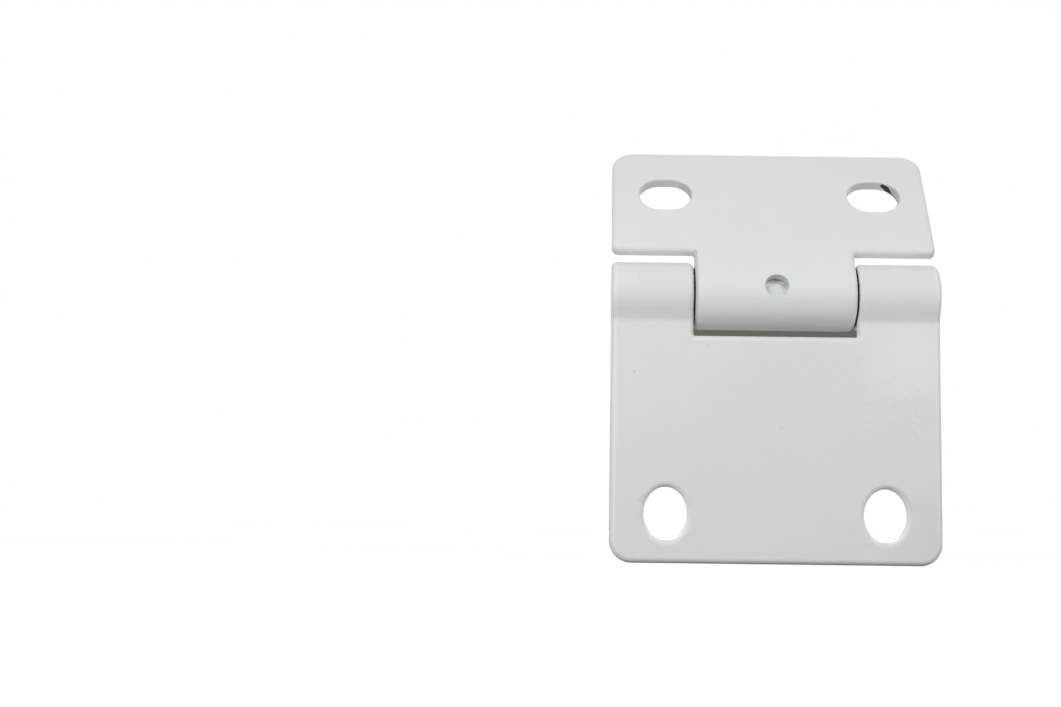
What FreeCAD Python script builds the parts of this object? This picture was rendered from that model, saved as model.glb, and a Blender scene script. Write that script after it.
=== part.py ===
import FreeCAD, Part
import math
import os

from FreeCAD import Vector

# Cooler lid hinge: two leaves of rolled sheet on one plain pin.
#
# Frame, in millimetres: X runs along the pin, +Z is up and the front of the hinge faces -Y. The body leaf
# stands upright with its back face on the plane Y = 0, which is the face of the cooler that it is
# screwed to. The origin lies on that face, half way between the two screw holes of the body leaf.
# The lid leaf leans back from upright by rest_lean.

# Sheet and pin
sheet_thickness = 1.75
pin_diameter = 6.35
pin_seat_clearance = 0.02
pin_running_clearance = 0.06
pin_end_inset = 0.3
pin_end_chamfer = 0.4

# Widths along the pin
leaf_width = 48.0
notch_width = 24.0
knuckle_side_gap = 0.2

# Body leaf, upright
pin_above_body_edge = 39.15
body_hole_above_edge = 7.1
body_hole_spacing = 31.75
body_hole_width = 6.3
body_hole_height = 7.65
body_corner_radius = 3.2
notch_floor_gap = 1.25
notch_corner_radius = 0.3

# The joggle sets the body leaf's plate back from the front of its knuckles, by a slope between two bends
joggle_offset = 1.45
joggle_angle = 27.0
joggle_bend_radius = 1.8

# Lid leaf, measured before it leans
lid_edge_above_pin = 25.75
lid_slot_below_edge = 9.25
lid_slot_spacing = 31.75
lid_slot_length = 7.9
lid_slot_width = 6.45
lid_top_corner_radius = 3.2
lid_shoulder_corner_radius = 1.0
tongue_corner_radius = 0.5
shoulder_gap = 1.0
sight_hole_diameter = 3.4
sight_hole_drop = 21.0
rest_lean = 33.7

# Rolled eyes: the gap left open at the end of each roll
seam_gap = 0.5

# Rounding of the sheet's cut edges: the punch rolls the front edges over and leaves the back ones crisp
front_edge_round = 0.85
back_edge_round = 0.2
body_hole_front_round = 0.8
lid_slot_front_round = 0.35
hole_back_round = 0.2
sight_hole_round = 0.12

# Radii of the two eyes, inside and outside the rolled sheet
pin_radius = pin_diameter / 2
body_eye_radius = pin_radius + pin_seat_clearance
body_knuckle_radius = body_eye_radius + sheet_thickness
lid_eye_radius = pin_radius + pin_running_clearance
lid_knuckle_radius = lid_eye_radius + sheet_thickness

# Where the body leaf's front face, its lower edge and the pin's axis lie
body_front_y = -sheet_thickness
body_edge_z = -body_hole_above_edge
pin_y = body_front_y - joggle_offset + body_knuckle_radius
pin_z = body_edge_z + pin_above_body_edge
pin_centre = Vector(0, pin_y, pin_z)

# Widths that both leaves share
half_leaf = leaf_width / 2
half_notch = notch_width / 2
half_tongue = half_notch - knuckle_side_gap

# Directions, and the turn of a roll that closes three sides of an eye, in degrees
along = Vector(1, 0, 0)
up = Vector(0, 0, 1)
down = Vector(0, 0, -1)
forwards = Vector(0, -1, 0)
three_sides = 270.0

# A cutter reaches this far through the sheet from one sheet thickness in front of it
cutter_depth = 3 * sheet_thickness

# How near two places have to be to count as the same, and the least angle of a sharp edge in degrees
same_place = 0.001
sharp_angle = 30.0


def turned(vector, axis, degrees):
    """The vector turned about an axis through the origin."""
    return FreeCAD.Rotation(axis, degrees).multVec(vector)


def line(start, end):
    """A straight edge."""
    return Part.LineSegment(start, end).toShape()


def arc(start, middle, end):
    """A round edge through three points."""
    return Part.Arc(start, middle, end).toShape()


def widened(section, width):
    """A section drawn out along the pin to a width, centred on X = 0."""
    return section.translated(along * (-width / 2)).extrude(along * width)


class SheetSection:
    """The section of a bent sheet in the plane X = 0, drawn by a walk along its front face.

    The walk starts at the front corner of a cut edge. The back face is drawn beside it, one sheet thickness
    behind, so that the sheet keeps its thickness round every bend.
    """

    def __init__(self, corner, heading):
        self.here = Vector(corner)
        self.heading = Vector(heading)
        self.front = Vector(forwards)
        self.front_edges = []
        self.back_edges = []

    def back(self):
        """The point of the back face behind where the walk has come to."""
        return self.here - self.front * sheet_thickness

    def run(self, length):
        """Add a flat stretch of sheet."""
        step = self.heading * length
        self.front_edges.append(line(self.here, self.here + step))
        self.back_edges.append(line(self.back(), self.back() + step))
        self.here = self.here + step

    def bend(self, degrees, front_radius):
        """Add a bend with its radius on the front face: backwards, or forwards if degrees is negative."""
        centre = self.here - self.front * math.copysign(front_radius, degrees)
        axis = self.front.cross(self.heading)

        def swung(point, share):
            return centre + turned(point - centre, axis, degrees * share)

        for edges, start in ((self.front_edges, self.here), (self.back_edges, self.back())):
            edges.append(arc(start, swung(start, 0.5), swung(start, 1.0)))
        self.here = swung(self.here, 1.0)
        self.heading = turned(self.heading, axis, degrees)
        self.front = turned(self.front, axis, degrees)

    def sheet(self, width):
        """The solid sheet."""
        first = line(self.back_edges[0].firstVertex().Point, self.front_edges[0].firstVertex().Point)
        last = line(self.here, self.back())
        outline = Part.Wire(self.front_edges + [last] + self.back_edges[::-1] + [first])
        return widened(Part.Face(outline), width)

    def front_skin(self, width):
        """The sheet's front face alone."""
        return widened(Part.Wire(self.front_edges), width)

    def back_skin(self, width):
        """The sheet's back face alone."""
        return widened(Part.Wire(self.back_edges), width)


def block(x_low, x_high, y_low, y_high, z_low, z_high):
    """A cutting block between limits."""
    corner = Vector(x_low, y_low, z_low)
    return Part.makeBox(x_high - x_low, y_high - y_low, z_high - z_low, corner)


def oval_cutter(centre, width, height):
    """An elliptical cutter that goes back from its centre."""
    ellipse = Part.Ellipse(centre + up * (height / 2), centre + along * (width / 2), centre)
    return Part.Face(Part.Wire(ellipse.toShape())).extrude(forwards * -cutter_depth)


def slot_cutter(centre, length, width):
    """A cutter with round ends that goes back from its centre, its length along the pin."""
    radius = width / 2
    left = centre - along * ((length - width) / 2)
    right = centre + along * ((length - width) / 2)
    lift = up * radius
    outline = Part.Wire([
        line(left + lift, right + lift),
        arc(right + lift, right + along * radius, right - lift),
        line(right - lift, left - lift),
        arc(left - lift, left - along * radius, left + lift),
    ])
    return Part.Face(outline).extrude(forwards * -cutter_depth)


def corners_rounded(leaf, radius, *corners):
    """The leaf with corners of its outline rounded, each given by its X and Z."""
    edges = []
    for edge in leaf.Edges:
        ends = [vertex.Point for vertex in edge.Vertexes]
        for x, z in corners:
            if all(math.hypot(end.x - x, end.z - z) < same_place for end in ends):
                edges.append(edge)
    return leaf.makeFillet(radius, edges)


def middle_of(edge):
    """The point half way along an edge."""
    return edge.valueAt((edge.FirstParameter + edge.LastParameter) / 2)


def is_sharp(edge, shape):
    """Whether the two faces beside an edge meet at a clear angle."""
    faces = shape.ancestorsOfType(edge, Part.Face)
    if len(faces) != 2:
        return False
    normals = [face.normalAt(*face.Surface.parameter(middle_of(edge))) for face in faces]
    return math.degrees(normals[0].getAngle(normals[1])) > sharp_angle


def lies_on(edge, surface):
    """Whether the middle of an edge lies on a surface."""
    return surface.distToShape(Part.Vertex(middle_of(edge)))[0] < same_place


def edges_rounded(leaf, radius, *surfaces):
    """The leaf with its sharp edges rounded where they lie on all of these surfaces."""
    edges = [e for e in leaf.Edges if is_sharp(e, leaf) and all(lies_on(e, s) for s in surfaces)]
    return leaf.makeFillet(radius, edges)


def hole_cut(leaf, cutter, *rims):
    """The leaf with a hole in it. Each rim is a skin of the sheet and the radius of the hole's edge there."""
    leaf = leaf.cut(cutter)
    wall = Part.Shell(cutter.Faces)
    for skin, radius in rims:
        leaf = edges_rounded(leaf, radius, skin, wall)
    return leaf


def make_body_leaf():
    """The lower leaf: a flat plate, a shallow joggle and two outer knuckles rolled back over the pin."""
    # The joggle's slope touches the knuckle's round at one end and the bend above the plate at the other
    turn = math.radians(joggle_angle)
    front_from_pin = body_knuckle_radius - joggle_offset
    slope_to_plate = (body_knuckle_radius * math.cos(turn) - front_from_pin) / math.sin(turn)
    bend_share = joggle_bend_radius * math.tan(turn / 2)
    joggle_drop = body_knuckle_radius * math.sin(turn) + slope_to_plate * math.cos(turn) + bend_share

    # The roll ends below the pin, where its corner is the seam's gap away from the back of the plate
    back_from_pin = front_from_pin - sheet_thickness
    past_bottom = math.degrees(math.asin((back_from_pin - seam_gap) / body_knuckle_radius))

    section = SheetSection(Vector(0, body_front_y, body_edge_z), up)
    section.run(pin_above_body_edge - joggle_drop)
    section.bend(-joggle_angle, joggle_bend_radius)
    section.run(slope_to_plate - bend_share)
    section.bend(joggle_angle + three_sides + past_bottom, body_knuckle_radius)
    leaf = section.sheet(leaf_width)
    front_skin = section.front_skin(leaf_width)
    back_skin = section.back_skin(leaf_width)

    notch_z = pin_z - lid_knuckle_radius - notch_floor_gap
    reach = 2 * body_knuckle_radius
    notch = block(-half_notch, half_notch, pin_y - reach, pin_y + reach, notch_z, pin_z + reach)
    leaf = leaf.cut(notch)
    leaf = corners_rounded(leaf, notch_corner_radius, (-half_notch, notch_z), (half_notch, notch_z))
    leaf = corners_rounded(leaf, body_corner_radius, (-half_leaf, body_edge_z), (half_leaf, body_edge_z))
    leaf = edges_rounded(leaf, front_edge_round, front_skin)
    leaf = edges_rounded(leaf, back_edge_round, back_skin)

    for side in (-1, 1):
        centre = Vector(side * body_hole_spacing / 2, body_front_y - sheet_thickness, 0)
        oval = oval_cutter(centre, body_hole_width, body_hole_height)
        leaf = hole_cut(leaf, oval, (front_skin, body_hole_front_round), (back_skin, hole_back_round))
    return leaf


def make_lid_leaf():
    """The upper leaf: a wide plate, and a tongue whose end is rolled down and back round the pin."""
    front_y = pin_y - lid_knuckle_radius
    top_z = pin_z + lid_edge_above_pin

    # The lower corners of the shoulders swing clear of the body leaf's knuckles
    shoulder_reach = body_knuckle_radius + shoulder_gap
    shoulder_z = pin_z + math.sqrt(shoulder_reach ** 2 - lid_eye_radius ** 2)

    # The roll ends above the pin, where its corner is the seam's gap away from the back of the tongue
    past_top = math.degrees(math.asin((lid_eye_radius - seam_gap) / lid_knuckle_radius))

    plate = SheetSection(Vector(0, front_y, top_z), down)
    plate.run(top_z - shoulder_z)
    tongue = SheetSection(Vector(0, front_y, top_z), down)
    tongue.run(lid_edge_above_pin)
    tongue.bend(three_sides + past_top, lid_knuckle_radius)
    leaf = plate.sheet(leaf_width).fuse(tongue.sheet(2 * half_tongue)).removeSplitter()
    front_skin = Part.Compound([plate.front_skin(leaf_width), tongue.front_skin(leaf_width)])
    back_skin = Part.Compound([plate.back_skin(leaf_width), tongue.back_skin(leaf_width)])

    leaf = corners_rounded(leaf, tongue_corner_radius, (-half_tongue, shoulder_z), (half_tongue, shoulder_z))
    leaf = corners_rounded(
        leaf, lid_shoulder_corner_radius, (-half_leaf, shoulder_z), (half_leaf, shoulder_z))
    leaf = corners_rounded(leaf, lid_top_corner_radius, (-half_leaf, top_z), (half_leaf, top_z))
    leaf = edges_rounded(leaf, front_edge_round, front_skin)
    leaf = edges_rounded(leaf, back_edge_round, back_skin)

    for side in (-1, 1):
        x = side * lid_slot_spacing / 2
        centre = Vector(x, front_y - sheet_thickness, top_z - lid_slot_below_edge)
        slot = slot_cutter(centre, lid_slot_length, lid_slot_width)
        leaf = hole_cut(leaf, slot, (front_skin, lid_slot_front_round), (back_skin, hole_back_round))

    # The sight hole goes through the front wall of the knuckle alone, straight at the pin
    towards_hole = turned(forwards, along, sight_hole_drop)
    sight_hole = Part.makeCylinder(sight_hole_diameter / 2, 2 * lid_knuckle_radius, pin_centre, towards_hole)
    leaf = hole_cut(leaf, sight_hole, (front_skin, sight_hole_round))
    return leaf.rotated(pin_centre, along, -rest_lean)


def make_hinge_pin():
    """The plain round pin, which ends a little inside the outer knuckles."""
    half_length = half_leaf - pin_end_inset
    pin = Part.makeCylinder(pin_radius, 2 * half_length, pin_centre - along * half_length, along)
    rims = [edge for edge in pin.Edges if edge.isClosed()]
    return pin.makeChamfer(pin_end_chamfer, rims)


def main():
    """Write one STEP file for each piece."""
    os.makedirs("parts", exist_ok=True)
    pieces = {
        "body_leaf": make_body_leaf(),
        "lid_leaf": make_lid_leaf(),
        "hinge_pin": make_hinge_pin(),
    }
    for name, shape in pieces.items():
        shape.exportStep(f"parts/{name}.step")
        print(name, "valid:", shape.isValid(), "volume:", round(shape.Volume, 2))


main()
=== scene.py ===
"""The looks of the painted cooler lid hinge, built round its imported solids.

The two rolled leaves and the pin keep their own solids and get painted finishes. The small marks that the
real hinge carries are pieces of their own: the bare patch in one slot, the paint that ran together at the
bottom of the sight hole, and the specks of grit under the paint.
Blender's objects are in metres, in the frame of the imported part: X along the pin, the front facing -Y, Z up.
The hinge's sizes are in millimetres, and a Span says where a soft change starts and where it is complete.
"""

import logging
import math
from dataclasses import dataclass, field
from enum import Enum
from typing import Dict, List, Optional, Sequence, Tuple, Union

import bpy
import numpy as np
from mathutils import Matrix, Vector


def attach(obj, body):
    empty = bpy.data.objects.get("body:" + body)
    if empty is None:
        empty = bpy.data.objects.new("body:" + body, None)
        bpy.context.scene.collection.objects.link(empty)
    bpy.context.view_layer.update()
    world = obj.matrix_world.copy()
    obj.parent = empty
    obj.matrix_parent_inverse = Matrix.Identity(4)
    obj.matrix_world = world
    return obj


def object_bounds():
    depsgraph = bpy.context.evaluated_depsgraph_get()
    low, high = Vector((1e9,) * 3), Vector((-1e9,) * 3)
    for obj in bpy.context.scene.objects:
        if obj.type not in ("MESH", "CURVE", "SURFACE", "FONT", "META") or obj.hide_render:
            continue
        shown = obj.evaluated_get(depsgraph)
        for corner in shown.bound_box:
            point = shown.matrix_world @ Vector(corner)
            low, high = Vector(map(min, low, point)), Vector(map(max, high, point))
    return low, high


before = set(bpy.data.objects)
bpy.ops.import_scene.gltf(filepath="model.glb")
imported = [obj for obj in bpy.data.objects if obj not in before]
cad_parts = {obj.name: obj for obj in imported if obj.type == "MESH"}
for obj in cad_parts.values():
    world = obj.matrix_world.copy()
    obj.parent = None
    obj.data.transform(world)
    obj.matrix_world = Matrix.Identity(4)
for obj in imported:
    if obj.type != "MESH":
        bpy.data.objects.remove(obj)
cad_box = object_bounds()

log = logging.getLogger("hinge")

MM = 0.001
SPECULAR = 0.3
Colour = Tuple[float, float, float]
Point = Tuple[float, float, float]
Span = Tuple[float, float]
Numbers = Tuple[float, ...]
Array = np.ndarray
Node = bpy.types.Node
Socket = bpy.types.NodeSocket
Material = bpy.types.Material
Object = bpy.types.Object


class Body(Enum):
    """The two bodies that turn against each other."""

    LOWER = "body_side"
    UPPER = "lid_side"


class Slot(Enum):
    """The record's material slot for the leaves' paint."""

    LEAF = "leaf_paint"


class Face(Enum):
    """The painted faces that a mark can lie on."""

    PLATE = "the front of the lower leaf's plate"
    KNUCKLE = "the front of the lower leaf's knuckles"
    UPPER = "the front of the upper leaf"


@dataclass(frozen=True)
class HingeSizes:
    """The hinge's own sizes, as the solids have them."""

    pin_y: float = 1.745
    pin_z: float = 32.05
    lean_degrees: float = 33.7
    plate_front_y: float = -1.75
    plate_half_width: float = 24.0
    plate_bottom: float = -7.1
    plate_corner: float = 3.2
    screw_from_middle: float = 15.875
    hole_half_width: float = 3.15
    hole_half_height: float = 3.825
    eye_radius: float = 3.235
    knuckle_radius: float = 4.985
    slot_above_pin: float = 16.5
    slot_half_straight: float = 0.725
    slot_radius: float = 3.225
    slot_back_round: float = 0.2
    slot_front_round: float = 0.35
    sight_hole_rise_degrees: float = 12.7
    sight_hole_radius: float = 1.7
    half_notch: float = 12.0

    def on_lower(self, x: Array, z: Array, proud: Array) -> Array:
        """Points in metres at X and Z, standing proud of the front face of the lower leaf's plate."""
        return np.stack([x, self.plate_front_y - proud, z], -1) * MM

    def tilted(self, degrees: float, x: Array, up: Array, out: Array) -> Array:
        """Points in a frame that is tilted back about the pin.

        The formula is pin + up (0, sin tilt, cos tilt) + out (0, -cos tilt, sin tilt).

        Args:
            degrees: The tilt.
            x: Distances along the pin.
            up: Distances up from the pin.
            out: Distances forwards from the pin.

        Returns:
            One row of X, Y and Z in metres for each point.
        """
        tilt = math.radians(degrees)
        y = self.pin_y + up * math.sin(tilt) - out * math.cos(tilt)
        z = self.pin_z + up * math.cos(tilt) + out * math.sin(tilt)
        return np.stack([x, y, z], -1) * MM

    def on_upper(self, x: Array, up: Array, out: Array) -> Array:
        """Points on the upper leaf, which leans back: up is along the leaf and out is towards its front."""
        return self.tilted(self.lean_degrees, x, up, out)

    def through_sight_hole(self, x: Array, up: Array, out: Array) -> Array:
        """Points about the sight hole, which looks a little up: up is across the hole and out along it."""
        return self.tilted(self.sight_hole_rise_degrees, x, up, out)

    def on_face(self, face: Face, x: Array, height: Array, proud: Array) -> Array:
        """Points of one of the painted faces.

        A knuckle's front stands sqrt(R^2 - d^2) in front of the pin, with R the knuckle's radius and d how
        far the point is above or below the pin.

        Args:
            face: The face.
            x: Distances along the pin.
            height: Values of Z, or distances up along the upper leaf from the pin.
            proud: Heights above the paint.

        Returns:
            One row of X, Y and Z in metres for each point.
        """
        if face is Face.UPPER:
            return self.on_upper(x, height, self.knuckle_radius + proud)
        if face is Face.KNUCKLE:
            front = np.sqrt(self.knuckle_radius ** 2 - (height - self.pin_z) ** 2)
            return self.on_lower(x, height, self.plate_front_y - self.pin_y + front + proud)
        return self.on_lower(x, height, proud)


SIZES = HingeSizes()


class Nodes:
    """A short way of writing the node tree of a material or of the world."""

    def __init__(self, name: str, world: bool = False) -> None:
        """Makes an empty material of that name, or an empty world."""
        self.owner = (bpy.data.worlds if world else bpy.data.materials).new(name)
        self.owner.use_nodes = True
        self.tree = self.owner.node_tree
        self.tree.nodes.clear()

    @property
    def place(self) -> Socket:
        """The object's own coordinates, in metres."""
        return self.add("TexCoord").outputs["Object"]

    @property
    def from_middle(self) -> Socket:
        """The distance from the hinge's middle along the pin, in metres."""
        return self.maths("ABSOLUTE", self.along("X", self.place))

    @property
    def facing(self) -> Socket:
        """The way that the surface faces, in the object's own axes."""
        return self.add("TexCoord").outputs["Normal"]

    def mark(self, name: str) -> Socket:
        """A number that the mesh carries at each of its points."""
        return self.add("Attribute", attribute_name=name).outputs["Fac"]

    def add(self, kind: str, **settings: object) -> Node:
        """Adds a node.

        Args:
            kind: The node's type without its ShaderNode prefix.
            **settings: Properties of the node, by name.

        Returns:
            The new node.
        """
        node = self.tree.nodes.new("ShaderNode" + kind)
        for key, value in settings.items():
            setattr(node, key, value)
        return node

    def put(self, socket: Socket, value: object) -> None:
        """Gives an input socket a number, a vector or a colour, or joins it to another node's output.

        Args:
            socket: The input.
            value: The value or the output. A colour gets an alpha of 1.
        """
        if isinstance(value, Socket):
            self.tree.links.new(value, socket)
        elif socket.type == "RGBA":
            socket.default_value = (*value, 1.0)
        else:
            socket.default_value = value

    def fill(self, node: Node, *values: object) -> Node:
        """Puts values into a node's first inputs, in order, and returns the node."""
        for socket, value in zip(node.inputs, values):
            self.put(socket, value)
        return node

    def give(self, node: Node, **values: object) -> Node:
        """Puts values into a node's inputs by name, with an underscore for a space, and returns the node."""
        for name, value in values.items():
            self.put(node.inputs[name.replace("_", " ")], value)
        return node

    def maths(self, operation: str, *values: object) -> Socket:
        """One step of arithmetic on numbers or sockets. Returns the result's socket."""
        return self.fill(self.add("Math", operation=operation), *values).outputs[0]

    def vector(self, operation: str, *values: object) -> Socket:
        """One step of vector arithmetic.

        Args:
            operation: The Vector Math node's operation.
            *values: Vectors or sockets for its inputs.

        Returns:
            The socket of the number for a length, a distance or a dot product, or else of the vector.
        """
        node = self.fill(self.add("VectorMath", operation=operation), *values)
        return node.outputs["Value" if operation in ("LENGTH", "DISTANCE", "DOT_PRODUCT") else "Vector"]

    def along(self, axis: str, vector: Socket) -> Socket:
        """The X, Y or Z of a vector."""
        return self.fill(self.add("SeparateXYZ"), vector).outputs[axis]

    def times(self, first: object, second: object) -> Socket:
        """The product of two numbers."""
        return self.maths("MULTIPLY", first, second)

    def hypot(self, first: Socket, second: Socket) -> Socket:
        """The square root of the sum of two squares."""
        squares = [self.maths("POWER", side, 2.0) for side in (first, second)]
        return self.maths("SQRT", self.maths("ADD", *squares))

    def from_pin(self) -> Socket:
        """The offset of a point from the middle of the pin, in metres."""
        return self.vector("SUBTRACT", self.place, (0.0, SIZES.pin_y * MM, SIZES.pin_z * MM))

    def from_spot(self, middle: Point) -> Socket:
        """The distance from a spot that is given in millimetres, in metres."""
        return self.vector("DISTANCE", self.place, tuple(part * MM for part in middle))

    def about(self, value: Socket, middle: float, spread: float) -> Socket:
        """A number that goes from half a spread below its middle to half above, as value goes to 1."""
        return self.maths("MULTIPLY_ADD", value, spread, middle - 0.5 * spread)

    def above(self, value: Socket, least: float, more: float) -> Socket:
        """A number that grows from its least by so much more, as value goes from 0 to 1."""
        return self.maths("MULTIPLY_ADD", value, more, least)

    def noise(self, grain: float, detail: float = 2.0, rough: float = 0.5,
              where: Optional[Socket] = None) -> Socket:
        """Smooth noise about 0.5.

        Args:
            grain: About how large a lump is, in millimetres.
            detail: How many finer layers it has.
            rough: How strong the finer layers are.
            where: The coordinates in metres, if they aren't the object's own.

        Returns:
            The noise value's socket.
        """
        node = self.give(self.add("TexNoise"), Scale=1.0 / (grain * MM), Detail=detail, Roughness=rough)
        self.put(node.inputs["Vector"], self.place if where is None else where)
        return node.outputs["Fac"]

    def ramp(self, value: Socket, span: Span, unit: float = 1.0) -> Socket:
        """A smooth step from 0 where the span starts to 1 where it is complete.

        Args:
            value: The number that it follows.
            span: The two values. The step falls as value grows if the first is the larger one.
            unit: The span's unit, MM where value is a distance.

        Returns:
            The step's socket.
        """
        start, full = (edge * unit for edge in span)
        settings = (start, full, 0.0, 1.0) if start < full else (full, start, 1.0, 0.0)
        node = self.add("MapRange", interpolation_type="SMOOTHSTEP")
        return self.fill(node, value, *settings).outputs["Result"]

    def blend(self, share: object, first: object, second: object) -> Socket:
        """A colour between two colours.

        Args:
            share: How much of the second colour there is, from 0 to 1.
            first: The first colour or its socket.
            second: The second colour or its socket.

        Returns:
            The blended colour's socket.
        """
        node = self.add("Mix", data_type="RGBA")
        for number, value in ((0, share), (6, first), (7, second)):
            self.put(node.inputs[number], value)
        return node.outputs[2]

    def bump(self, height: Socket, strength: float, depth: float,
             below: Optional[Socket] = None) -> Socket:
        """A bumped normal.

        Args:
            height: The height, from 0 to 1.
            strength: How much of the bump shows, from 0 to 1.
            depth: The depth of a full step of height, in millimetres.
            below: A normal that this one is laid over.

        Returns:
            The normal's socket.
        """
        node = self.give(self.add("Bump"), Strength=strength, Distance=depth * MM, Height=height)
        if below is not None:
            self.put(node.inputs["Normal"], below)
        return node.outputs["Normal"]

    def surface(self, colour: Socket, rough: object, normal: Socket) -> Material:
        """Ends the tree with one Principled shader.

        Args:
            colour: Its base colour.
            rough: Its roughness, a number or a socket.
            normal: Its normal.

        Returns:
            The finished material.
        """
        shader = self.give(self.add("BsdfPrincipled"), Base_Color=colour, Roughness=rough, Normal=normal,
                           Specular_IOR_Level=SPECULAR)
        self.fill(self.add("OutputMaterial"), shader.outputs[0])
        return self.owner


@dataclass(frozen=True)
class PaintedLightSpot:
    """A spot of painted light, lighter for a highlight and darker for shade, gone a centimetre away."""

    middle: Point
    colour: Colour
    most: float
    fade: Span = (10.0, 1.0)

    def share(self, tree: Nodes) -> Socket:
        """How much of its colour shows, up to its most at the middle."""
        return tree.times(tree.ramp(tree.from_spot(self.middle), self.fade, MM), self.most)


@dataclass(frozen=True)
class PaintedEdgeHighlight:
    """A painted highlight: a lighter line just inside the sides and the bottom of the lower leaf's plate."""

    colour: Colour
    outer_side: Span = (0.30, 0.62)
    inner_side: Span = (1.10, 0.78)
    least: float = 0.20
    uneven: float = 0.25
    uneven_grain: float = 9.0
    uneven_span: Span = (0.25, 0.60)
    least_low: float = 0.3
    low_down: Span = (-6.0, -1.0)

    def share(self, tree: Nodes) -> Socket:
        """How much of the painted highlight shows.

        The plate's outline is a rectangle with rounded corners. The distance inside it is the corner's
        radius less the length of (max(|x| - a, 0), max(b - z, 0)), with a and b the centre of the
        corner's arc.

        Args:
            tree: The tree to build in.

        Returns:
            The share's socket.
        """
        arc_x = (SIZES.plate_half_width - SIZES.plate_corner) * MM
        arc_z = (SIZES.plate_bottom + SIZES.plate_corner) * MM
        z = tree.along("Z", tree.place)
        side = tree.maths("MAXIMUM", tree.maths("SUBTRACT", tree.from_middle, arc_x), 0.0)
        low = tree.maths("MAXIMUM", tree.maths("SUBTRACT", arc_z, z), 0.0)
        inside = tree.maths("SUBTRACT", SIZES.plate_corner * MM, tree.hypot(side, low))
        line = tree.times(tree.ramp(inside, self.outer_side, MM), tree.ramp(inside, self.inner_side, MM))
        patches = tree.ramp(tree.noise(self.uneven_grain, 1.0), self.uneven_span)
        patchy = tree.above(patches, self.least, self.uneven)
        fade = tree.above(tree.ramp(z, self.low_down, MM), self.least_low, 1.0 - self.least_low)
        return tree.times(line, tree.times(patchy, fade))


@dataclass(frozen=True)
class PaintedRimHighlight:
    """A painted highlight: lighter paint on the left and right sides of the lower leaf's screw holes."""

    colour: Colour = (0.955, 0.962, 0.958)
    reach: Span = (1.13, 1.04)
    sideways: Span = (0.05, 0.45)

    def share(self, tree: Nodes) -> Socket:
        """How much of the painted highlight shows.

        The holes are ellipses. With a and b their half axes, sqrt(((|x| - hole) / a)^2 + (z / b)^2) is 1 on
        the wall and grows outwards.

        Args:
            tree: The tree to build in.

        Returns:
            The share's socket.
        """
        beside = tree.maths("SUBTRACT", tree.from_middle, SIZES.screw_from_middle * MM)
        beside = tree.maths("DIVIDE", beside, SIZES.hole_half_width * MM)
        above = tree.maths("DIVIDE", tree.along("Z", tree.place), SIZES.hole_half_height * MM)
        turned = tree.ramp(tree.maths("ABSOLUTE", tree.along("X", tree.facing)), self.sideways)
        return tree.times(tree.ramp(tree.hypot(beside, above), self.reach), turned)


@dataclass(frozen=True)
class SightHoleWallShade:
    """Painted shade on the drilled wall of the sight hole, which makes its paint darker there."""

    colour: Colour = (0.660, 0.690, 0.695)
    beyond_wall: Span = (0.13, 0.03)
    before_pin: Span = (0.0, 1.0)

    def share(self, tree: Nodes) -> Socket:
        """How much of the painted shade shows.

        The distance from the hole's axis is the offset from the pin less its part along the axis.

        Args:
            tree: The tree to build in.

        Returns:
            The share's socket.
        """
        rise = math.radians(SIZES.sight_hole_rise_degrees)
        axis = (0.0, -math.cos(rise), math.sin(rise))
        offset = tree.from_pin()
        away = tree.vector("DISTANCE", offset, tree.vector("PROJECT", offset, axis))
        wall = tree.ramp(away, tuple(SIZES.sight_hole_radius + beyond for beyond in self.beyond_wall), MM)
        ahead = tree.vector("DOT_PRODUCT", offset, axis)
        return tree.times(wall, tree.ramp(ahead, self.before_pin, MM))


@dataclass(frozen=True)
class PaintedEndShade:
    """Painted shade on the end walls of the openings, where they look to the left."""

    colour: Colour = (0.620, 0.630, 0.615)
    within: Span = (22.5, 21.5)
    leftwards: Span = (-0.30, -0.70)

    def share(self, tree: Nodes) -> Socket:
        """How much of the painted shade shows: none on the leaf's own outer sides."""
        left = tree.ramp(tree.along("X", tree.facing), self.leftwards)
        return tree.times(tree.ramp(tree.from_middle, self.within, MM), left)


@dataclass(frozen=True)
class BareSteelAndSlitShade:
    """The steel that shows where the closed joint kept the paint out, near-black to paint the shade there too.

    It shows inside the rolled eyes, and in the slits beside the middle knuckle, nearer to the pin than the
    paint reached.
    """

    # Near-black: bare steel that also paints the deep shade in the slits and eyes.
    colour: Colour = (0.055, 0.060, 0.058)
    contrast: float = 1.9
    grain: float = 0.5
    paint_reach: float = 4.35
    reach_blur: float = 0.15
    ragged: float = 0.5
    ragged_grain: float = 0.6
    slit_inset: float = 0.1
    slit_reach: Span = (0.26, 0.18)
    eye_reach: Span = (3.35, 3.25)
    eye_end: Span = (23.75, 23.40)

    def mottled(self, tree: Nodes) -> Socket:
        """Its colour, lighter in small grains."""
        light = tuple(self.contrast * part for part in self.colour)
        return tree.blend(tree.noise(self.grain, 4.0), self.colour, light)

    def share(self, tree: Nodes) -> Socket:
        """How bare the steel is, and so how much of its painted shade shows.

        The distance from the pin is the length of the offset across it, with a ragged edge. A slit is where
        the distance from the hinge's middle is near to half the notch's width.

        Args:
            tree: The tree to build in.

        Returns:
            The share's socket.
        """
        across = tree.vector("MULTIPLY", tree.from_pin(), (0.0, 1.0, 1.0))
        uneven = tree.about(tree.noise(self.ragged_grain, 3.0), 0.0, self.ragged * MM)
        reach = tree.maths("ADD", tree.vector("LENGTH", across), uneven)
        edge = (self.paint_reach + self.reach_blur, self.paint_reach - self.reach_blur)
        side = tree.from_middle
        beside = tree.maths("SUBTRACT", side, (SIZES.half_notch - self.slit_inset) * MM)
        slit = tree.ramp(tree.maths("ABSOLUTE", beside), self.slit_reach, MM)
        slit = tree.times(tree.ramp(reach, edge, MM), slit)
        eye = tree.times(tree.ramp(reach, self.eye_reach, MM), tree.ramp(side, self.eye_end, MM))
        return tree.maths("MAXIMUM", slit, eye)


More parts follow.
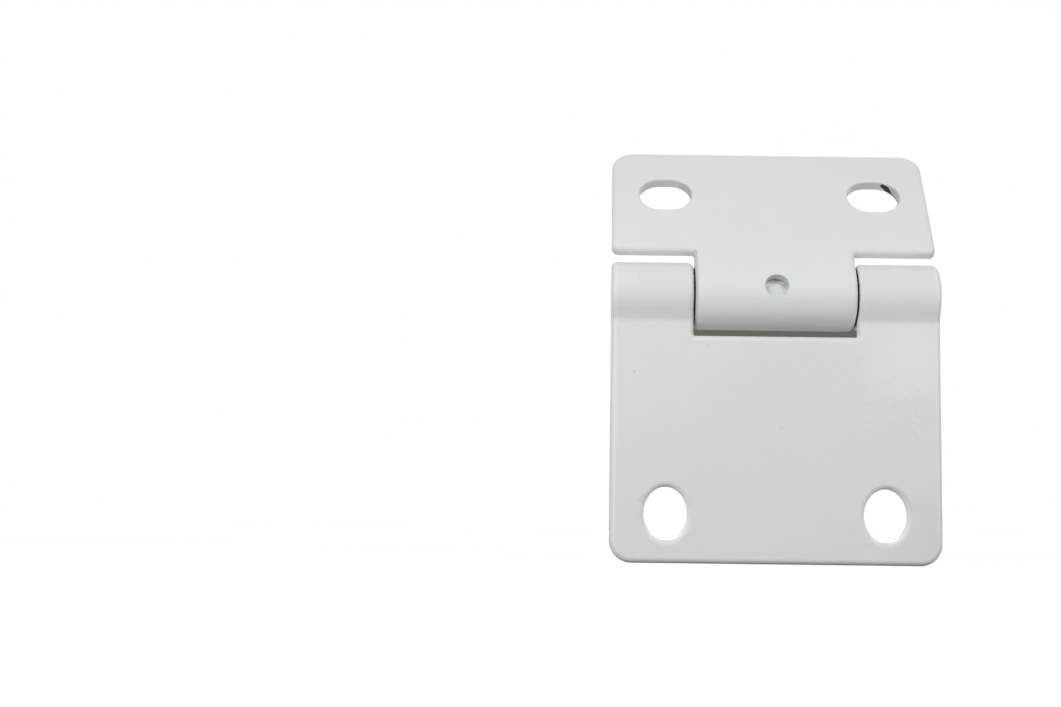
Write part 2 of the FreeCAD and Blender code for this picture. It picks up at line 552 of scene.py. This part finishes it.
@dataclass(frozen=True)
class Ripples:
    """The stronger peel round one spot of the plate, drawn out along a slant and gone a centimetre away."""

    middle: Point
    reach: Span = (10.5, 3.0)
    slant_degrees: float = 35.0
    drawn_out: float = 0.42
    grain: float = 1.25
    depth: float = 0.105

    def normal(self, tree: Nodes, below: Socket) -> Socket:
        """The rippled normal.

        The ripples are noise on coordinates that are turned by the slant and pressed together along it.

        Args:
            tree: The tree to build in.
            below: The normal that the ripples are laid over.

        Returns:
            The normal's socket.
        """
        slant = math.radians(self.slant_degrees)
        way = Vector((math.cos(slant), 0.0, -math.sin(slant))) * self.drawn_out
        along = tree.vector("DOT_PRODUCT", tree.place, tuple(way))
        across = tree.vector("DOT_PRODUCT", tree.place, (math.sin(slant), 0.0, math.cos(slant)))
        drawn = tree.fill(tree.add("CombineXYZ"), along, 0.0, across).outputs[0]
        lumps = tree.noise(self.grain, 1.5, where=drawn)
        near = tree.ramp(tree.from_spot(self.middle), self.reach, MM)
        return tree.bump(tree.times(lumps, near), 1.0, self.depth, below)


@dataclass(frozen=True)
class RubMark:
    """A few fine rubbed lines that run side by side from one point to another."""

    start: Point
    end: Point
    colour: Colour = (0.52, 0.53, 0.52)
    most: float = 0.50
    strength: float = 0.6
    depth: float = -0.02
    beside: Span = (0.62, 0.35)
    ends: Span = (0.65, 0.30)
    pitch: float = 0.34
    edges: Span = (-0.6, 0.6)
    broken_grain: float = 0.6
    broken_span: Span = (0.36, 0.52)
    least: float = 0.4

    def share(self, tree: Nodes) -> Socket:
        """How strong the mark is.

        With t the place's share of the way from start to end, and w how far it is beside that line, the
        lines are a wave of w. They fade out beside the line and past its ends.

        Args:
            tree: The tree to build in.

        Returns:
            The strength's socket, from 0 to 1.
        """
        start, end = Vector(self.start) * MM, Vector(self.end) * MM
        stretch = end - start
        sideways = Vector((-stretch.z, 0.0, stretch.x)).normalized()
        offset = tree.vector("SUBTRACT", tree.place, tuple(start))
        along = tree.vector("DOT_PRODUCT", offset, tuple(stretch / stretch.length_squared))
        across = tree.vector("DOT_PRODUCT", offset, tuple(sideways))
        near = tree.ramp(tree.maths("ABSOLUTE", across), self.beside, MM)
        within = tree.ramp(tree.maths("ABSOLUTE", tree.maths("SUBTRACT", along, 0.5)), self.ends)
        wave = tree.maths("COSINE", tree.times(across, 2.0 * math.pi / (self.pitch * MM)))
        broken = tree.ramp(tree.noise(self.broken_grain), self.broken_span)
        broken = tree.above(broken, self.least, 1.0 - self.least)
        return tree.times(tree.ramp(wave, self.edges), tree.times(tree.times(near, within), broken))


Layer = Union[PaintedLightSpot, PaintedEdgeHighlight, PaintedRimHighlight, SightHoleWallShade, PaintedEndShade]


@dataclass(frozen=True)
class HingeEnamel:
    """White baked enamel over steel, with a faint peel, slow changes of shade and layers of painted light."""

    name: str
    white: Colour = (0.806, 0.814, 0.810)
    thin_white: Colour = (0.776, 0.785, 0.780)
    layers: Tuple[Layer, ...] = ()
    ripples: Optional[Ripples] = None
    rub: Optional[RubMark] = None
    steel: BareSteelAndSlitShade = BareSteelAndSlitShade()
    slow_grain: float = 14.0
    slow_part: float = 0.6
    fine_grain: float = 0.8
    shades: Span = (0.30, 0.72)
    roughness: float = 0.42
    rough_spread: float = 0.10
    dry_roughness: float = 0.90
    bare_roughness: float = 0.55
    looks_down: Span = (-0.45, -0.80)
    looks_left: Span = (-0.55, -0.85)
    peel_grain: float = 1.1
    peel_depth: float = 0.010
    peel_strength: float = 0.5
    wave_grain: float = 6.0
    wave_depth: float = 0.030
    wave_strength: float = 0.30

    def material(self) -> Material:
        """The finished material: the film with its painted light, then bare steel and slit shade, then rubbed
        lines.

        Returns:
            The material.
        """
        tree = Nodes(self.name)
        # Bare steel in the slits and eyes, near-black so that it paints the shade there too.
        bare_and_shade = self.steel.share(tree)
        slow, fine = tree.noise(self.slow_grain), tree.noise(self.fine_grain, 3.0)
        shade = tree.maths("ADD", tree.times(slow, self.slow_part), tree.times(fine, 1.0 - self.slow_part))
        colour = tree.blend(tree.ramp(shade, self.shades), self.thin_white, self.white)
        for layer in self.layers:
            colour = tree.blend(layer.share(tree), colour, layer.colour)
        colour = tree.blend(bare_and_shade, colour, self.steel.mottled(tree))

        rough = tree.about(fine, self.roughness, self.rough_spread)
        dry = tree.times(self.dry_share(tree), self.dry_roughness - self.roughness)
        dull = tree.times(bare_and_shade, self.bare_roughness - self.roughness)
        rough = tree.maths("ADD", tree.maths("ADD", rough, dry), dull)

        normal = tree.bump(tree.noise(self.peel_grain, 1.5), self.peel_strength, self.peel_depth)
        normal = tree.bump(tree.noise(self.wave_grain, 1.0), self.wave_strength, self.wave_depth, normal)
        if self.ripples is not None:
            normal = self.ripples.normal(tree, normal)
        if self.rub is not None:
            mark = self.rub.share(tree)
            colour = tree.blend(tree.times(mark, self.rub.most), colour, self.rub.colour)
            normal = tree.bump(mark, self.rub.strength, self.rub.depth, normal)
        return tree.surface(colour, rough, normal)

    def dry_share(self, tree: Nodes) -> Socket:
        """How dry the spray fell, from 0 to 1: fully on faces that look down or to the left."""
        down = tree.ramp(tree.along("Z", tree.facing), self.looks_down)
        return tree.maths("MAXIMUM", down, tree.ramp(tree.along("X", tree.facing), self.looks_left))


@dataclass(frozen=True)
class MottledEnamel:
    """The thin, uneven paint that reached the pin through the sight hole and at its two ends."""

    name: str
    white: Colour = (0.880, 0.900, 0.905)
    grey: Colour = (0.780, 0.805, 0.810)
    # Near-black between the painted zones: bare steel, dark enough to paint the shade in the slits.
    bare_and_shade: Colour = (0.055, 0.060, 0.058)
    grain: float = 0.75
    shades: Span = (0.30, 0.54)
    under_hole: Span = (2.3, 1.9)
    at_ends: Span = (23.2, 23.35)
    roughness: float = 0.40
    rough_spread: float = 0.2
    lump_strength: float = 0.35
    lump_depth: float = 0.04

    def material(self) -> Material:
        """The finished material: painted at the sight hole and ends; between, bare steel that paints the slit
        shade.

        Returns:
            The material.
        """
        tree = Nodes(self.name)
        lumps = tree.noise(self.grain, 3.0, 0.6)
        painted = tree.blend(tree.ramp(lumps, self.shades), self.grey, self.white)
        reached = [tree.ramp(tree.from_middle, span, MM) for span in (self.under_hole, self.at_ends)]
        colour = tree.blend(tree.maths("MAXIMUM", *reached), self.bare_and_shade, painted)
        rough = tree.about(lumps, self.roughness, self.rough_spread)
        return tree.surface(colour, rough, tree.bump(lumps, self.lump_strength, self.lump_depth))


@dataclass(frozen=True)
class PooledEnamel:
    """Cooler enamel that ran together, with a painted highlight at its top and painted shade by the right
    wall.
    """

    name: str
    # A painted highlight: bright white at the pool's top, which lightens the wall's shadow there.
    top_highlight: Colour = (0.955, 0.962, 0.964)
    white: Colour = (0.712, 0.738, 0.750)
    shade: Colour = (0.650, 0.676, 0.688)
    # Painted shade beside the right wall, and the colour of the two dimples.
    wall_shade_and_pits: Colour = (0.585, 0.622, 0.628)
    grain: float = 0.9
    shades: Span = (0.30, 0.50)
    highlight_fades: Span = (0.0, 0.75)
    roughness: float = 0.40
    rough_spread: float = 0.12
    lump_strength: float = 0.4
    lump_depth: float = 0.05

    def material(self) -> Material:
        """The finished material, which reads how deep the pool is and where it is darkened from its
        attributes.

        Returns:
            The material.
        """
        tree = Nodes(self.name)
        lumps = tree.noise(self.grain)
        colour = tree.blend(tree.ramp(lumps, self.shades), self.shade, self.white)
        # Painted highlight at the pool's top, then painted shade beside the right wall and in the dimples.
        colour = tree.blend(tree.ramp(tree.mark("depth"), self.highlight_fades), self.top_highlight, colour)
        colour = tree.blend(tree.mark("wall_shade_and_pits"), colour, self.wall_shade_and_pits)
        rough = tree.about(lumps, self.roughness, self.rough_spread)
        return tree.surface(colour, rough, tree.bump(lumps, self.lump_strength, self.lump_depth))


@dataclass(frozen=True)
class BlackScale:
    """Bare, oiled black steel with a grainy face."""

    name: str
    dark: Colour = (0.010, 0.011, 0.009)
    light: Colour = (0.045, 0.045, 0.038)
    grain: float = 0.22
    shades: Span = (0.35, 0.75)
    roughness: float = 0.55
    grain_strength: float = 0.6
    grain_depth: float = 0.02

    def material(self) -> Material:
        """The finished material.

        Returns:
            The material.
        """
        tree = Nodes(self.name)
        grain = tree.noise(self.grain, 4.0, 0.6)
        colour = tree.blend(tree.ramp(grain, self.shades), self.dark, self.light)
        return tree.surface(colour, self.roughness, tree.bump(grain, self.grain_strength, self.grain_depth))


@dataclass(frozen=True)
class GritEnamel:
    """The enamel over a grain of grit, grey where the film is thin over its top."""

    name: str
    white: Colour = (0.79, 0.80, 0.795)
    grey: Colour = (0.34, 0.35, 0.34)
    grain: float = 0.08
    grain_part: float = 0.3
    worn_from: Span = (0.55, 1.05)
    roughness: float = 0.4
    grain_strength: float = 0.4
    grain_depth: float = 0.01

    def material(self) -> Material:
        """The finished material, which reads how high the dome is from its crown attribute.

        Returns:
            The material.
        """
        tree = Nodes(self.name)
        grain = tree.noise(self.grain)
        worn = tree.maths("MULTIPLY_ADD", grain, self.grain_part, tree.mark("crown"))
        worn = tree.ramp(worn, self.worn_from)
        colour = tree.blend(worn, self.white, self.grey)
        return tree.surface(colour, self.roughness, tree.bump(grain, self.grain_strength, self.grain_depth))


def in_scene(name: str, data: bpy.types.ID) -> Object:
    """Makes an object and puts it into the scene.

    Args:
        name: Its name.
        data: Its mesh, lamp or camera.

    Returns:
        The new object, at the origin.
    """
    thing = bpy.data.objects.new(name, data)
    bpy.context.scene.collection.objects.link(thing)
    return thing


def ring_mesh(name: str, points: Array, finish: Material) -> Object:
    """A closed mesh whose rows are rings of points laid side by side.

    Quads join row i to row i + 1, and the last column to the first. The first and last rows are closed with
    one face each.

    Args:
        name: The object's name.
        points: Rows by columns by 3, in metres.
        finish: Its material.

    Returns:
        The new object, at the origin.
    """
    rows, columns, _ = points.shape
    number = np.arange(rows * columns).reshape(rows, columns)
    ring = np.concatenate([number, number[:, :1]], 1)
    a, b, c, d = ring[:-1, :-1], ring[:-1, 1:], ring[1:, 1:], ring[1:, :-1]
    faces = np.stack([a, b, c, d], -1).reshape(-1, 4).tolist()
    faces.append(number[0, ::-1].tolist())
    faces.append(number[-1].tolist())
    mesh = bpy.data.meshes.new(name)
    mesh.from_pydata(points.reshape(-1, 3).tolist(), [], faces)
    mesh.polygons.foreach_set("use_smooth", np.ones(len(mesh.polygons), bool))
    mesh.materials.append(finish)
    mesh.update()
    return in_scene(name, mesh)


def mark_points(piece: Object, name: str, values: Array) -> None:
    """Gives a piece an attribute with one number for each of its points, in their order."""
    layer = piece.data.attributes.new(name, "FLOAT", "POINT")
    layer.data.foreach_set("value", values.astype(np.float32).ravel())


@dataclass
class GritSpeck:
    """One low dome of paint over a grain of grit."""

    name: str
    face: Face
    centre: Tuple[float, float]
    radius: float = 0.16
    height: float = 0.05
    stretch: float = 1.0
    sides: int = 24
    rings: int = 8
    first_ring: float = 0.04
    two_lobes: float = 0.16
    three_lobes: float = 0.09
    edge_sunk: float = 0.2
    foot_sunk: float = 0.6

    def build(self, finish: Material) -> Object:
        """Makes the dome and puts it on its leaf.

        With r from 0 to 1 across the dome, its height is h (1 - r^2)^2 less a fifth of h r, so its edge is
        under the paint, and its foot lies deeper. Its outline is a circle with waves of two and three lobes.

        Args:
            finish: The material that it gets.

        Returns:
            The dome.
        """
        turn = np.linspace(0.0, 2.0 * math.pi, self.sides, endpoint=False)
        reach = np.linspace(self.first_ring, 1.0, self.rings)
        wobble = 1.0 + self.two_lobes * np.sin(2.0 * turn + self.centre[0])
        wobble = wobble + self.three_lobes * np.sin(3.0 * turn + self.centre[1])
        across = reach[:, None] * wobble[None, :] * self.radius
        x = self.centre[0] + across * np.cos(turn)
        z = self.centre[1] + self.stretch * across * np.sin(turn)
        rise = self.height * (1.0 - reach ** 2) ** 2 - self.edge_sunk * self.height * reach
        rise = np.broadcast_to(rise[:, None], x.shape)
        crown = np.concatenate([rise, np.full_like(x[-1:], -self.foot_sunk * self.height)], 0)
        x, z = np.concatenate([x, x[-1:]], 0), np.concatenate([z, z[-1:]], 0)
        piece = ring_mesh(self.name, SIZES.on_face(self.face, x, z, crown), finish)
        mark_points(piece, "crown", np.clip(crown / self.height, 0.0, 1.0))
        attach(piece, (Body.UPPER if self.face is Face.UPPER else Body.LOWER).value)
        log.info("%s: %d faces on %s", self.name, len(piece.data.polygons), self.face.value)
        return piece


@dataclass
class BarePatch:
    """The ragged patch of black steel on the round end wall of the right slot, where the paint is missing.

    At each angle round the wall it reaches from a low to a high distance in front of the pin.
    """

    name: str = "slot_bare_patch"
    proud: float = 0.012
    sunk: float = 0.05
    columns: int = 64
    rows: int = 20
    angles: Numbers = (10.0, 18.0, 26.0, 33.0, 37.0, 39.0, 43.0, 50.0, 55.0, 60.0, 66.0, 71.5, 75.5)
    lows: Numbers = (3.25, 3.25, 3.25, 3.26, 3.27, 3.28, 3.30, 3.34, 3.42, 3.52, 3.72, 3.96, 4.20)
    highs: Numbers = (3.36, 3.52, 3.54, 3.56, 3.58, 3.66, 3.92, 4.30, 4.50, 4.62, 4.46, 4.68, 4.30)
    high_ragged_from: float = 38.0
    low_ragged_from: float = 54.0
    coarse_depth: float = 0.035
    coarse_beat: float = 31.0
    fine_depth: float = 0.025
    fine_beat: float = 83.0
    high_ragged: float = 0.8
    most_of_rim: float = 0.98

    def wall_radius(self, out: Array) -> Array:
        """The radius of the slot's round end at a distance in front of the pin.

        It is the slot's radius on the straight wall. Over the rounded rims it grows by r - sqrt(r^2 - d^2),
        with r the rim's own radius and d how far the point is past the start of the rim.

        Args:
            out: Distances from the pin towards the leaf's front.

        Returns:
            The radii.
        """
        back, front = SIZES.slot_back_round, SIZES.slot_front_round
        back_rim = np.clip(SIZES.eye_radius + back - out, 0.0, back * self.most_of_rim)
        front_rim = np.clip(out - (SIZES.knuckle_radius - front), 0.0, front * self.most_of_rim)
        growth = back - np.sqrt(back ** 2 - back_rim ** 2) + front - np.sqrt(front ** 2 - front_rim ** 2)
        return SIZES.slot_radius + growth

    def skin(self, proud: float) -> Array:
        """The patch's points.

        The ragged edges are the sum of a coarse and a fine sine wave along the patch.

        Args:
            proud: How far towards the slot's middle they stand from the wall.

        Returns:
            Rows by columns by 3, in metres.
        """
        share = np.linspace(0.0, 1.0, self.columns)
        angle = self.angles[0] + (self.angles[-1] - self.angles[0]) * share
        ragged = self.coarse_depth * np.sin(self.coarse_beat * share)
        ragged = ragged + self.fine_depth * np.sin(self.fine_beat * share + 1.0)
        low = np.interp(angle, self.angles, self.lows) + np.where(angle > self.low_ragged_from, ragged, 0.0)
        ragged = np.where(angle > self.high_ragged_from, self.high_ragged * ragged, 0.0)
        high = np.interp(angle, self.angles, self.highs) + ragged
        out = low + (high - low) * np.linspace(0.0, 1.0, self.rows)[:, None]
        radius = self.wall_radius(out) - proud
        turn = np.radians(np.broadcast_to(angle, out.shape))
        x = SIZES.screw_from_middle + SIZES.slot_half_straight + radius * np.cos(turn)
        return SIZES.on_upper(x, SIZES.slot_above_pin + radius * np.sin(turn), out)

    def build(self, finish: Material) -> Object:
        """Makes the patch, closed by a second skin under the paint.

        Args:
            finish: The material that it gets.

        Returns:
            The patch.
        """
        top, under = self.skin(self.proud), self.skin(-self.sunk)
        piece = ring_mesh(self.name, np.concatenate([top, under[:, ::-1]], 1), finish)
        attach(piece, Body.UPPER.value)
        log.info("%s: %d faces", self.name, len(piece.data.polygons))
        return piece


@dataclass
class PaintPool:
    """The paint that ran together at the bottom of the sight hole, from the pin to the hole's lower rim."""

    name: str = "sight_hole_paint_pool"
    pin_clear_radius: float = 3.19
    film: float = 0.02
    below_rim: float = 0.03
    into_wall: float = 0.03
    top: float = 0.95
    bottom: float = -1.70
    rows: int = 36
    columns: int = 48
    climb_power: float = 1.15
    side_climb: float = 0.5
    side_power: int = 6
    slant: float = 0.25
    # Where the painted shade beside the right wall lies, across and up the hole.
    wall_shade_across: Span = (0.50, 0.68)
    wall_shade_height: Span = (-0.45, -0.10)
    dimples: Tuple[Tuple[float, float], ...] = ((-1.32, 0.05), (1.28, -0.15))
    dimple_radius: float = 0.2
    dimple_most: float = 0.8

    def darkening_share(self, x: Array, up: Array) -> Array:
        """How darkened the pool is: painted shade fully beside the right wall in the upper part, and two small
        dimples.

        The edge of the first is straight and slanted. A dimple is exp(-d^2 / r^2), with d the distance from
        its middle.

        Args:
            x: Distances along the pin.
            up: Distances up across the hole.

        Returns:
            How darkened each point is, from 0 to 1.
        """
        right = np.interp(x / SIZES.sight_hole_radius + self.slant * up, self.wall_shade_across, (0.0, 1.0))
        wall_shade_and_pits = right * np.interp(up, self.wall_shade_height, (0.0, 1.0))
        for dimple_x, dimple_up in self.dimples:
            away = (x - dimple_x) ** 2 + (up - dimple_up) ** 2
            wall_shade_and_pits = np.maximum(wall_shade_and_pits, self.dimple_most * np.exp(-away / self.dimple_radius ** 2))
        return wall_shade_and_pits

    def build(self, finish: Material) -> Object:
        """Makes the pool.

        At a height v across the hole, the pin stands p = sqrt(pin radius^2 - v^2) out, and the rim r =
        sqrt(knuckle radius^2 - v^2) less a little. The paint is p + f + (r - p - f) s^1.15 out, with f the
        film and s from 0 at the pool's top to 1 at its foot, and it climbs a little more beside the wall.

        Args:
            finish: The material that it gets.

        Returns:
            The pool.
        """
        share = np.linspace(0.0, 1.0, self.rows)[:, None]
        up = self.top + (self.bottom - self.top) * share
        half = np.sqrt((SIZES.sight_hole_radius + self.into_wall) ** 2 - up ** 2)
        side = np.linspace(-1.0, 1.0, self.columns)[None, :]
        x, up = half * side, np.broadcast_to(up, (self.rows, self.columns))
        pin = np.sqrt(self.pin_clear_radius ** 2 - up ** 2)
        rim = np.sqrt(SIZES.knuckle_radius ** 2 - up ** 2) - self.below_rim
        beside_wall = self.side_climb * share * (1.0 - share) * side ** self.side_power
        climb = np.clip(share ** self.climb_power + beside_wall, 0.0, 1.0)
        top = SIZES.through_sight_hole(x, up, pin + self.film + (rim - pin - self.film) * climb)
        under = SIZES.through_sight_hole(x, up, pin)
        piece = ring_mesh(self.name, np.concatenate([top, under[:, ::-1]], 1), finish)
        wall_shade_and_pits = self.darkening_share(x, up)
        mark_points(piece, "wall_shade_and_pits", np.concatenate([wall_shade_and_pits, wall_shade_and_pits[:, ::-1]], 1))
        mark_points(piece, "depth", np.broadcast_to(share, (self.rows, 2 * self.columns)))
        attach(piece, Body.UPPER.value)
        log.info("%s: %d faces", self.name, len(piece.data.polygons))
        return piece


@dataclass
class PaintedHinge:
    """The hinge's own solids in their finishes, and the marks that they carry."""

    # The first white paints highlights on the plate, the second paints shade at its lower right.
    highlight_white: Colour = (0.885, 0.896, 0.890)
    shade_white: Colour = (0.700, 0.712, 0.706)
    grit: List[GritSpeck] = field(default_factory=lambda: [
        GritSpeck("grit_upper_corner", Face.UPPER, (-21.50, 22.51), 0.17, 0.05),
        GritSpeck("grit_left_knuckle", Face.KNUCKLE, (-19.96, 33.95), 0.13, 0.04),
        GritSpeck("grit_plate_middle", Face.PLATE, (0.80, 12.55), 0.16, 0.05, 1.3),
        GritSpeck("grit_plate_left", Face.PLATE, (-20.56, 20.41), 0.14, 0.04, 2.4),
        GritSpeck("grit_plate_top_left", Face.PLATE, (-9.91, 24.30), 0.11, 0.03, 2.4),
        GritSpeck("grit_plate_top_right", Face.PLATE, (11.87, 22.57), 0.16, 0.04, 0.7),
        GritSpeck("grit_plate_low_a", Face.PLATE, (10.42, -2.54), 0.19, 0.04, 0.5),
        GritSpeck("grit_plate_low_b", Face.PLATE, (13.30, -4.10), 0.14, 0.05),
        GritSpeck("grit_plate_low_c", Face.PLATE, (11.28, -2.37), 0.11, 0.04),
    ])

    def lower_enamel(self) -> HingeEnamel:
        """The lower leaf's finish, with its spots given as points of the plate's front, and its painted light.
        """
        front = SIZES.plate_front_y
        return HingeEnamel(
            "lower_leaf_enamel",
            # A painted highlight at the plate's upper right, and painted shade at its lower right.
            layers=(PaintedLightSpot((19.5, front, 23.0), self.highlight_white, 0.62),
                    PaintedLightSpot((23.0, front, -1.5), self.shade_white, 0.50),
                    PaintedEdgeHighlight(self.highlight_white), PaintedRimHighlight()),
            ripples=Ripples((17.5, front, 15.8)),
            rub=RubMark((-19.50, front, 1.50), (-18.85, front, 2.75)))

    def upper_enamel(self) -> HingeEnamel:
        """The upper leaf's finish, in a lighter white that paints the extra light on the leaning leaf."""
        return HingeEnamel("upper_leaf_enamel", (0.824, 0.832, 0.829), (0.794, 0.803, 0.799),
                           layers=(SightHoleWallShade(), PaintedEndShade()))

    def dress(self) -> None:
        """Gives each solid its finish."""
        finishes: Dict[str, Material] = {
            "body_leaf": self.lower_enamel().material(),
            "lid_leaf": self.upper_enamel().material(),
            "hinge_pin": MottledEnamel("pin_enamel").material(),
        }
        for name, finish in finishes.items():
            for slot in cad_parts[name].material_slots:
                slot.material = finish
            log.info("%s: %s", name, finish.name)

    def build(self) -> None:
        """Makes the marks."""
        grit = GritEnamel("grit_enamel").material()
        for speck in self.grit:
            speck.build(grit)
        PaintPool().build(PooledEnamel("pooled_enamel").material())
        BarePatch().build(BlackScale("bare_black_steel").material())


def seen_share(tree: Nodes) -> Socket:
    """Tells the rays that see things from the rays that light them.

    Args:
        tree: The tree to build in.

    Returns:
        1 for the rays of the camera, of reflections and of clear pieces, and 0 for the others.
    """
    rays = tree.add("LightPath")
    seen = tree.maths("MAXIMUM", rays.outputs["Is Camera Ray"], rays.outputs["Is Glossy Ray"])
    return tree.maths("MAXIMUM", seen, rays.outputs["Is Transmission Ray"])


def seen_glow(name: str, colour: Colour) -> Material:
    """A plain colour that is seen but lights nothing.

    Args:
        name: The material's name.
        colour: Its colour.

    Returns:
        The material.
    """
    tree = Nodes(name)
    glow = tree.fill(tree.add("Emission"), colour, seen_share(tree))
    tree.fill(tree.add("OutputMaterial"), glow.outputs[0])
    return tree.owner


def stage_piece(name: str, corners: Sequence[Sequence[float]], faces: Sequence[Tuple[int, ...]],
                finish: Material) -> None:
    """Makes a piece of the stage.

    Args:
        name: The object's name.
        corners: Its points, in metres.
        faces: The numbers of each face's points.
        finish: Its material.
    """
    mesh = bpy.data.meshes.new(name)
    mesh.from_pydata(corners, [], faces)
    mesh.materials.append(finish)
    piece = in_scene(name, mesh)


@dataclass
class Softbox:
    """A square lamp aimed at the hinge, with its distance and side in metres and its power in watts."""

    name: str
    azimuth: float
    elevation: float
    power: float
    distance: float = 0.22
    side: float = 0.11

    def build(self, target: Vector) -> None:
        """Makes the lamp.

        Args:
            target: The point that it faces.
        """
        across, rise = math.radians(self.azimuth), math.radians(self.elevation)
        way = Vector((math.sin(across) * math.cos(rise), -math.cos(across) * math.cos(rise), math.sin(rise)))
        lamp = bpy.data.lights.new(self.name, "AREA")
        lamp.shape, lamp.size, lamp.energy = "SQUARE", self.side, self.power
        holder = in_scene(self.name, lamp)
        holder.location = target + way * self.distance
        holder.rotation_mode = "QUATERNION"
        holder.rotation_quaternion = (-way).to_track_quat("-Z", "Y")


@dataclass
class Studio:
    """The pale floor, the white surroundings, the lamps and the camera, with their sizes in metres."""

    camera_place: Point = (-0.02602, -0.21434, -0.00012)
    camera_pitch: float = 6.191
    camera_roll: float = 0.713
    camera_lens: float = 49.98
    camera_sensor: float = 36.0
    camera_shift: float = -0.06265
    camera_near: float = 0.01
    camera_far: float = 20.0
    floor_half: float = 3.0
    floor_gap: float = 0.00005
    floor_colour: Colour = (0.30, 0.30, 0.30)
    floor_near: float = 0.80
    floor_far: float = 0.92
    floor_brightens: Span = (0.12, 0.7)
    surround_level: float = 0.40
    lamps: List[Softbox] = field(default_factory=lambda: [
        Softbox("left_softbox", -40.0, 14.0, 0.203),
        Softbox("right_softbox", 40.0, 20.0, 0.141),
        Softbox("left_side_softbox", -84.0, 6.0, 0.008),
        Softbox("right_side_softbox", 84.0, 6.0, 0.022),
        Softbox("back_softbox", 180.0, 10.0, 0.55, distance=0.36, side=0.18),
    ])
    shade_place: Point = (0.3035, 2.500, 0.3425)
    shade_half_width: float = 0.156
    shade_half_height: float = 0.0155
    shade_colour: Colour = (0.132, 0.140, 0.119)
    louvres: Tuple[int, int] = (5, 25)
    louvre_start: float = 0.6
    louvre_colour: Colour = (1.0, 1.0, 1.0)

    def build(self) -> None:
        """Makes everything round the hinge."""
        low, high = cad_box
        self.camera()
        self.surroundings()
        self.floor(low.z)
        self.far_shade()
        for lamp in self.lamps:
            lamp.build((low + high) / 2)
        bpy.context.scene.view_settings.view_transform = "Standard"

    def camera(self) -> None:
        """The camera stands where the photograph was taken from, looking a little up, with a slight roll."""
        data = bpy.data.cameras.new("camera")
        data.lens, data.sensor_width = self.camera_lens, self.camera_sensor
        data.shift_x = self.camera_shift
        data.clip_start, data.clip_end = self.camera_near, self.camera_far
        holder = in_scene("camera", data)
        tilt = Matrix.Rotation(math.radians(90.0 + self.camera_pitch), 4, "X")
        roll = Matrix.Rotation(math.radians(self.camera_roll), 4, "Z")
        holder.matrix_world = Matrix.Translation(self.camera_place) @ tilt @ roll
        bpy.context.scene.camera = holder

    def surroundings(self) -> None:
        """An even soft light from all round, which the camera and reflections see as plain white."""
        tree = Nodes("surround", world=True)
        level = tree.above(seen_share(tree), self.surround_level, 1.0 - self.surround_level)
        light = tree.fill(tree.add("Background"), (1.0, 1.0, 1.0), level)
        tree.fill(tree.add("OutputWorld"), light.outputs[0])
        bpy.context.scene.world = tree.owner

    def floor(self, height: float) -> None:
        """A wide pale floor just under the hinge, a little brighter far away, where the lamps don't reach.

        Args:
            height: The height of the hinge's lowest point.
        """
        tree = Nodes("pale_floor")
        far = tree.ramp(tree.vector("LENGTH", tree.place), self.floor_brightens)
        level = tree.above(far, self.floor_near, self.floor_far - self.floor_near)
        glow = tree.give(tree.add("Emission"), Strength=tree.times(seen_share(tree), level))
        matte = tree.give(tree.add("BsdfDiffuse"), Color=self.floor_colour)
        both = tree.fill(tree.add("AddShader"), matte.outputs[0], glow.outputs[0])
        tree.fill(tree.add("OutputMaterial"), both.outputs[0])

        half, level = self.floor_half, height - self.floor_gap
        corners = [(-half, -half, level), (half, -half, level), (half, half, level), (-half, half, level)]
        stage_piece("floor", corners, [(0, 1, 2, 3)], tree.owner)

    def far_shade(self) -> None:
        """A small grey card far behind, which shows only through the opening under the middle knuckle.

        It stands for the shaded ground that shows there behind the real hinge. White louvres in front of it
        point at the camera's place, so that from any other place only their white sides show.
        """
        half = np.array([self.shade_half_width, 0.0, 0.0])
        rise = np.array([0.0, 0.0, self.shade_half_height])
        middle, eye = np.array(self.shade_place), np.array(self.camera_place)
        corners = middle + np.array([-half - rise, half - rise, half + rise, rise - half])
        stage_piece("far_shade", corners.tolist(), [(0, 1, 2, 3)], seen_glow("grey_card", self.shade_colour))

        rows, columns = self.louvres
        far = middle + np.linspace(-1.0, 1.0, rows)[:, None, None] * rise
        far = (far + np.linspace(-1.0, 1.0, columns)[None, :, None] * half).reshape(-1, 3)
        near = eye + self.louvre_start * (far - eye)
        number = np.arange(rows * columns).reshape(rows, columns)
        upright, level = np.stack([number[0], number[-1]], 1), np.stack([number[:, 0], number[:, -1]], 1)
        first, last = np.concatenate([upright, level]).T
        faces = np.stack([first, last, last + number.size, first + number.size], 1)
        white = seen_glow("white_louvres", self.louvre_colour)
        stage_piece("far_louvres", np.concatenate([far, near]).tolist(), faces.tolist(), white)


def main() -> None:
    """Builds the studio and the hinge."""
    logging.basicConfig(level=logging.INFO, format="%(name)s: %(message)s")
    Studio().build()
    hinge = PaintedHinge()
    hinge.dress()
    hinge.build()


if __name__ == "__main__":
    main()
